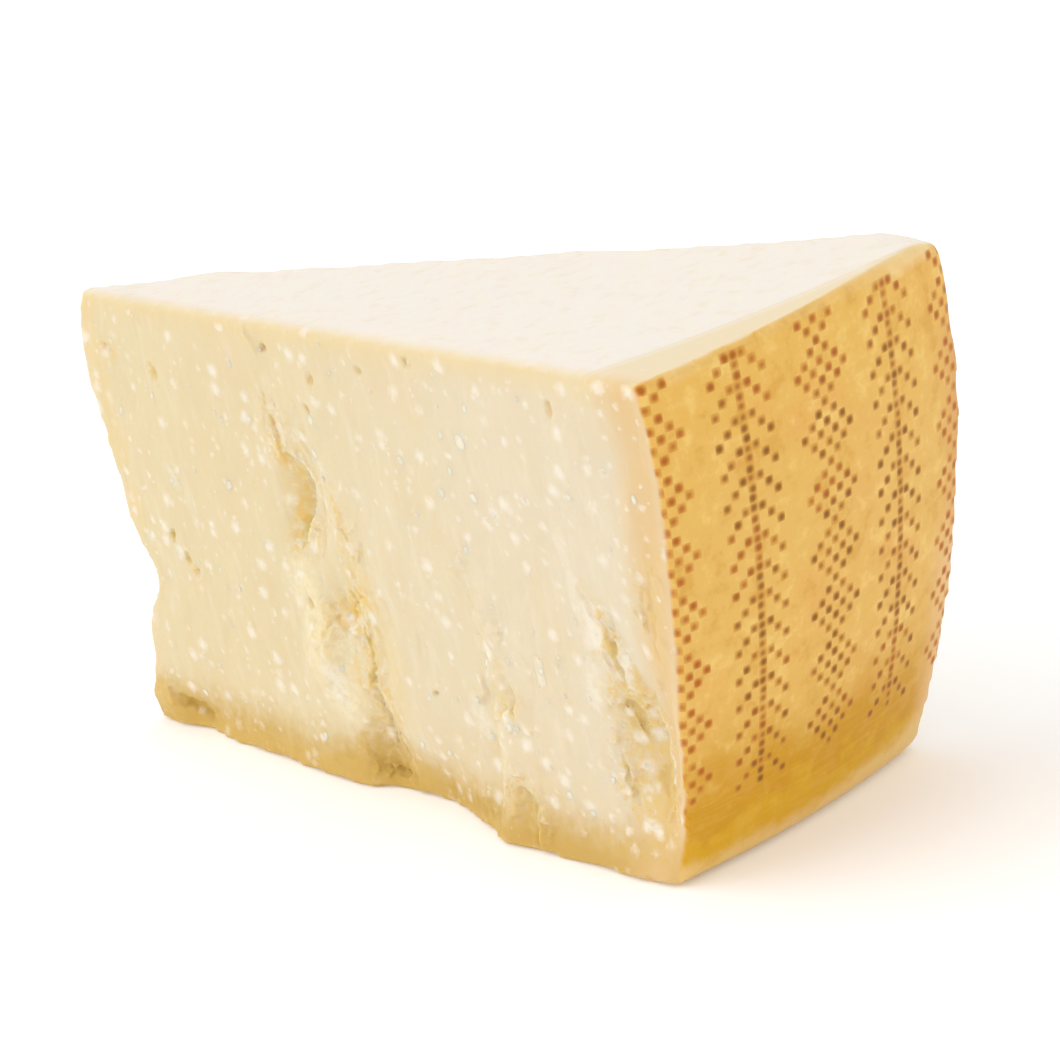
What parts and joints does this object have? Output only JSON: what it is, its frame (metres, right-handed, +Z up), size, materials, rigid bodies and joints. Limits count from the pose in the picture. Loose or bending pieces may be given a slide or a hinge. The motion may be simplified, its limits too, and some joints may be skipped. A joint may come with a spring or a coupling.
{
  "type": "parmesan chunk",
  "caption": "Wedge of hard aged grating cheese broken from half a wheel, with pale crumbly faces, crags, white specks and a golden dotted rind.",
  "frame": {"origin": "under the middle of the chunk's bounding box, on the surface it rests on", "axes": "+X from the broken point to the rind, +Y towards the back broken face, +Z up from the flat side of the wheel to the top cut"},
  "size_m": [0.2305, 0.0875, 0.1152],
  "materials": {
    "cheese": "matte, crumbly, pale straw paste with white crystals, and a waxy golden rind with brown pin dots"
  },
  "bodies": {
    "root": {"parmesan_chunk": "cheese"}
  },
  "joints": []
}
